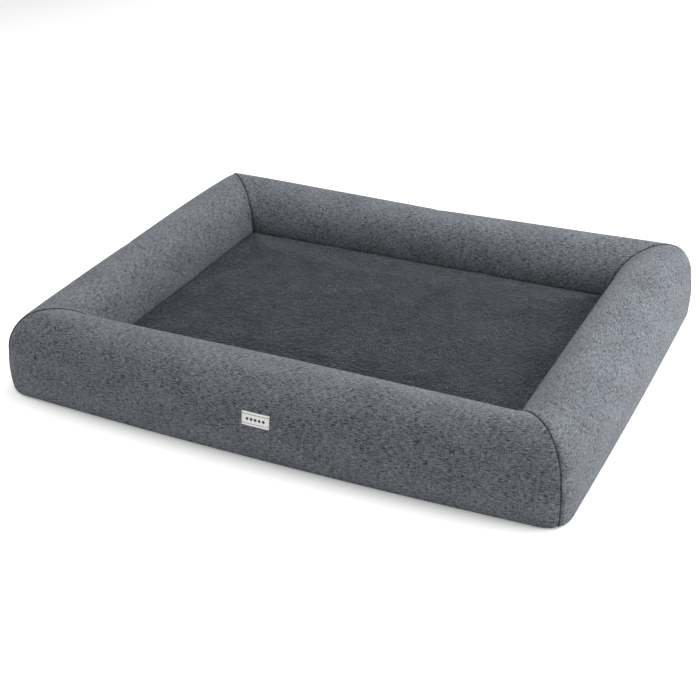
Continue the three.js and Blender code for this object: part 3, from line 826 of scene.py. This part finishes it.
# The pile: short tufts that lean the way they were brushed, in three pieces laid over each other.
fur, start, inputs = material("plush_pile", roughness=0.9, specular_ior_level=0.08, sheen_weight=0.1,
                              sheen_roughness=0.5)
drift = start.place().noise(16, 3)
# Painted shade: each tuft is darker towards its root, where the pile shades it, and lighter at its tip. The
# tone and drift are its own tone.
shade = start.attribute("tip") * 0.75 + start.attribute("tone") * 0.3 + drift * 0.5 - 0.3
feed(inputs, base_color=shade.ramp(0.0, 1.0).between(colour(58, 62, 68), colour(114, 119, 127)))
tuft_length, tuft_width, tuft_gap, tuft_lean = 8.5 * mm, 0.95 * mm, 3.5 * mm, 68
tuft_curl = 0.28  # how far a tuft's tip curls over, as a share of its length
pile_density = 110000.0  # places to a square metre, before the gaps


def drawn(start, low, high, seed):
    """A number drawn for each tuft."""
    return start.node("FunctionNodeRandomValue", {"data_type": "FLOAT"},
                      {"Min": low, "Max": high, "Seed": seed}, 1)


for layer, seed in (("", 11), ("_second", 23), ("_third", 37)):
    wanted = {
        "Gap": ("Float", tuft_gap), "Length": ("Float", tuft_length), "Width": ("Float", tuft_width),
        "Lean": ("Float", math.radians(tuft_lean)), "Seed": ("Int", seed),
    }
    start, ask = new_tree("plush_pile", wanted)
    on_pile = start.node("GeometryNodeInputNamedAttribute", {"data_type": "FLOAT"}, {"Name": "top"})
    scattered = start.node("GeometryNodeDistributePointsOnFaces", {"distribute_method": "POISSON"}, {
        "Mesh": ask["Geometry"], "Distance Min": ask["Gap"], "Density Max": pile_density,
        "Density Factor": on_pile, "Seed": ask["Seed"]})
    place = start.node("GeometryNodeInputPosition")
    heading = place.scaled(7, 7, 0).noise(1, 0) * 5.2 + place.scaled(22, 22, 0).noise(1, 0) * 3.0
    turn = start.vector(0.0, drawn(start, 0.82, 1.12, 4) * ask["Lean"], heading + drawn(start, -0.5, 0.5, 3))
    cone = start.node("GeometryNodeMeshCone", {"fill_type": "TRIANGLE_FAN"}, {
        "Vertices": 3, "Side Segments": 2, "Radius Top": 0.0, "Radius Bottom": ask["Width"],
        "Depth": ask["Length"]})
    tip = place.part(2) / ask["Length"]
    curl = tip.maths("POWER", 2.0) * ask["Length"] * tuft_curl
    tuft = start.node("GeometryNodeSetPosition", {}, {"Geometry": cone, "Offset": start.vector(curl)})
    tuft = start.node("GeometryNodeStoreNamedAttribute", {"data_type": "FLOAT", "domain": "POINT"}, {
        "Geometry": tuft, "Name": "tip", "Value": tip})
    pile = start.node("GeometryNodeInstanceOnPoints", {}, {
        "Points": scattered, "Instance": tuft, "Rotation": turn, "Scale": drawn(start, 0.6, 1.2, 5)})
    pile = start.node("GeometryNodeStoreNamedAttribute", {"data_type": "FLOAT", "domain": "INSTANCE"}, {
        "Geometry": pile, "Name": "tone", "Value": drawn(start, 0.0, 1.0, 6)})
    pile_tufts = grown("sleeping_pad_pile" + layer, start, pile, wanted, fur, pad)
    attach(pile_tufts, "root")

# ------ the underside
# A black non-slip backing closes the bed below: tight polyester with rubber dots printed on it.
panel_low, panel_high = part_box("bottom_panel")
dot_height = 0.7 * mm
dot_radius = 1.9 * mm
dot_pitch = 15 * mm
panel_radius = corner_radius - hem_radius
dot_margin = panel_radius * 0.6  # from the backing's edge


def panel_outline(inset, steps=10):
    """The backing's edge, drawn in by an inset."""
    spots = []
    for sx, sy, first in ((1, -1, -90), (1, 1, 0), (-1, 1, 90), (-1, -1, 180)):
        for turn in np.radians(np.linspace(first, first + 90, steps)):
            spots.append((sx * (panel_high.x - panel_radius) + (panel_radius - inset) * math.cos(turn),
                          sy * (panel_high.y - panel_radius) + (panel_radius - inset) * math.sin(turn)))
    return np.array(spots)


cloth_low, cloth_high = panel_low.z + dot_height, panel_high.z
outlines = [(1.2 * mm, cloth_high), (0.3 * mm, cloth_high - 0.2 * mm), (0, (cloth_low + cloth_high) / 2),
            (0.3 * mm, cloth_low + 0.2 * mm), (1.2 * mm, cloth_low)]
rings = [[(x_at, y_at, z_at) for x_at, y_at in panel_outline(inset)] for inset, z_at in outlines]
size = len(rings[0])
points = [p for ring in rings for p in ring]
loops = [list(range(r * size, (r + 1) * size)) for r in range(len(rings))]
faces = [quad[1:] + quad[:1] for upper, lower in zip(loops, loops[1:]) for quad in skirt(upper, lower)]
faces += [loops[0], loops[-1][::-1]]
backing, start, inputs = material("grip_backing", roughness=0.9, specular_ior_level=0.15, sheen_weight=0.2)
at = start.place()
knit = at.scaled(1100, 1100, 1).noise(1, 1)
rub = at.noise(9, 3)
feed(inputs, base_color=(knit * 0.5 + rub * 0.4).between(colour(30, 31, 34), colour(74, 76, 80)),
     normal=knit.bump(0.2 * mm, 0.6))
panel = piece("bottom_backing", bowed(points), faces)
panel.data.materials.append(backing)
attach(panel, "root")
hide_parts("bottom_panel")

rubber, start, inputs = material("grip_rubber", roughness=0.55, specular_ior_level=0.35)
speck = start.place().noise(700, 2)
feed(inputs, base_color=speck.between(colour(20, 21, 23), colour(46, 47, 50)),
     roughness=speck.ramp(0.3, 0.7, 0.45, 0.7))
wanted = {
    "Size X": ("Float", 2 * (panel_high.x - dot_margin)),
    "Size Y": ("Float", 2 * (panel_high.y - dot_margin)),
    "Columns": ("Int", round(2 * panel_high.x / dot_pitch) - 1),
    "Rows": ("Int", round(2 * panel_high.y / dot_pitch) - 1),
    "Height": ("Float", dot_height), "Radius": ("Float", dot_radius), "Level": ("Float", cloth_low),
}
start, ask = new_tree("grip_dots", wanted)
spots = start.node("GeometryNodeMeshGrid", {}, {
    "Size X": ask["Size X"], "Size Y": ask["Size Y"],
    "Vertices X": ask["Columns"], "Vertices Y": ask["Rows"]})
spots = start.node("GeometryNodeSetPosition", {}, {
    "Geometry": spots, "Offset": start.vector(0.0, 0.0, ask["Level"])})
dome = start.node("GeometryNodeMeshUVSphere", {}, {"Segments": 8, "Rings": 4, "Radius": 1.0})
dome = start.node("GeometryNodeTransform", {}, {
    "Geometry": dome, "Scale": start.vector(ask["Radius"], ask["Radius"], ask["Height"])})
dots = start.node("GeometryNodeInstanceOnPoints", {}, {"Points": spots, "Instance": dome})
grips = grown("grip_dots", start, dots, wanted, rubber)
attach(grips, "root")

# ------ the label
# A white damask label on the front, woven with a plain row of diamonds and sewn down at both ends.
label_low, label_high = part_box("woven_label")
label_half = (label_high.x - label_low.x) / 2
label_shift_x, label_shift_z = 7 * mm, 5 * mm  # from its place on the plain model, along and up
label_across = (label_low.x + label_high.x) / 2 + label_shift_x
label_middle = (label_low.z + label_high.z) / 2 + label_shift_z
label_tall = (label_high.z - label_low.z) / 2
label_cloth_thickness = 0.6 * mm
label_puff = 0.5 * mm  # it stands off the sleeve a little between its sewn ends
label_gap = 0.15 * mm
label_columns, label_lines = 33, 15
front_bolster = evaluated(bpy.data.objects["front_bolster"])


def wall_at(x_at, z_at):
    """Where the front sleeve's cloth is, at this place on the front."""
    found, spot, _, _ = front_bolster.ray_cast((x_at, -half_width - well_outside, z_at), (0, 1, 0))
    return spot.y if found else -half_width


shares_x, shares_z = np.linspace(-1, 1, label_columns), np.linspace(-1, 1, label_lines)
front_face, back_face = [], []
for sx in shares_x:
    for sz in shares_z:
        x_at, z_at = label_across + sx * label_half, label_middle + sz * label_tall
        lift = label_puff * (1 - sx ** 6) * (1 - 0.6 * sz ** 2) + label_gap
        y_at = wall_at(x_at, z_at) - lift
        front_face.append((x_at, y_at - label_cloth_thickness, z_at))
        back_face.append((x_at, y_at, z_at))
total = label_columns * label_lines
quads, rim = grid_faces(np.arange(total).reshape(label_columns, label_lines))
faces = quads.tolist() + (quads[:, ::-1] + total).tolist() + skirt(rim, [i + total for i in rim])
damask, start, inputs = material("label_damask", roughness=0.62, sheen_weight=0.25, specular_ior_level=0.3)
at = start.place()
x, off_middle = at.part(0) - label_across, (at.part(2) - label_middle).maths("ABSOLUTE")
diamond_pitch, diamond_size = 7.2 * mm, 2.9 * mm
border_height = 7.6 * mm  # the two lines, above and below the middle
nearest = (x - (x / diamond_pitch).maths("ROUND") * diamond_pitch).maths("ABSOLUTE")
in_row = x.maths("ABSOLUTE").ramp(16.6 * mm, 16.9 * mm, 1, 0)
diamonds = (nearest + off_middle).ramp(diamond_size, diamond_size + 0.3 * mm, 1, 0) * in_row
border = (off_middle - border_height).maths("ABSOLUTE").ramp(0.25 * mm, 0.45 * mm, 1, 0)
ink = diamonds.maths("MAXIMUM", border)
satin = at.scaled(500, 500, 4200).noise(1, 2)
threads = at.scaled(3600, 1, 500).noise(1, 1)
paper = satin.between(colour(226, 226, 224), colour(250, 250, 249))
feed(inputs, base_color=ink.between(paper, colour(34, 35, 38)),
     normal=(satin * 0.5 + threads * 0.5).bump(0.06 * mm, 0.7))
label = piece("label", front_face + back_face, faces)
label.data.materials.append(damask)
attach(label, "root")
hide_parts("woven_label")
stitch_length, stitch_pitch, stitch_radius = 1.9 * mm, 2.3 * mm, 0.2 * mm
for end, sign in (("left", -1), ("right", 1)):
    x_at = label_across + sign * (label_half - 1.5 * mm)
    heights = np.linspace(label_middle - label_tall + mm, label_middle + label_tall - mm, 9)
    seam = stitched("label_stitches_" + end, [
        (x_at, wall_at(x_at, z_at) - label_cloth_thickness - 0.3 * mm, z_at) for z_at in heights], (0, -1, 0))
    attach(seam, "root")

# ------ the studio
# A plain white floor in a white surround. A soft light stands close on the right, and wide ones
# above, behind and on the left.
floor = piece("floor", [(-6, -6, 0), (6, -6, 0), (6, 6, 0), (-6, 6, 0)], [(0, 1, 2, 3)])
white, start, inputs = material("floor_white", roughness=0.9, emission_strength=0.24)
grain = start.place().noise(3)
feed(inputs, base_color=grain.between(colour(246, 246, 246), colour(251, 251, 251)))
floor.data.materials.append(white)


def soft_light(name, place, aim, size, power):
    light = linked(name, bpy.data.lights.new(name, "AREA"))
    light.data.shape, light.data.size, light.data.energy = "SQUARE", size, power
    light.location = place
    light.rotation_mode = "QUATERNION"
    light.rotation_quaternion = (Vector(aim) - Vector(place)).to_track_quat("-Z", "Y")


soft_light("right", (1.15, 0.1, 0.55), (0.1, 0, 0.05), 0.8, 9.6)
soft_light("overhead", (0.2, 0.4, 2.2), (0, 0, 0), 2.4, 44)
soft_light("behind", (0, 2.6, 1.3), (0, 0, 0.05), 2, 29)
soft_light("left", (-1.8, -0.2, 1.5), (0, 0, 0.05), 1.2, 14)
surround = bpy.data.worlds.new("surround")
surround.use_nodes = True
surround.node_tree.nodes["Background"].inputs[0].default_value = (1, 1, 1, 1)
surround.node_tree.nodes["Background"].inputs[1].default_value = 0.36
bpy.context.scene.world = surround
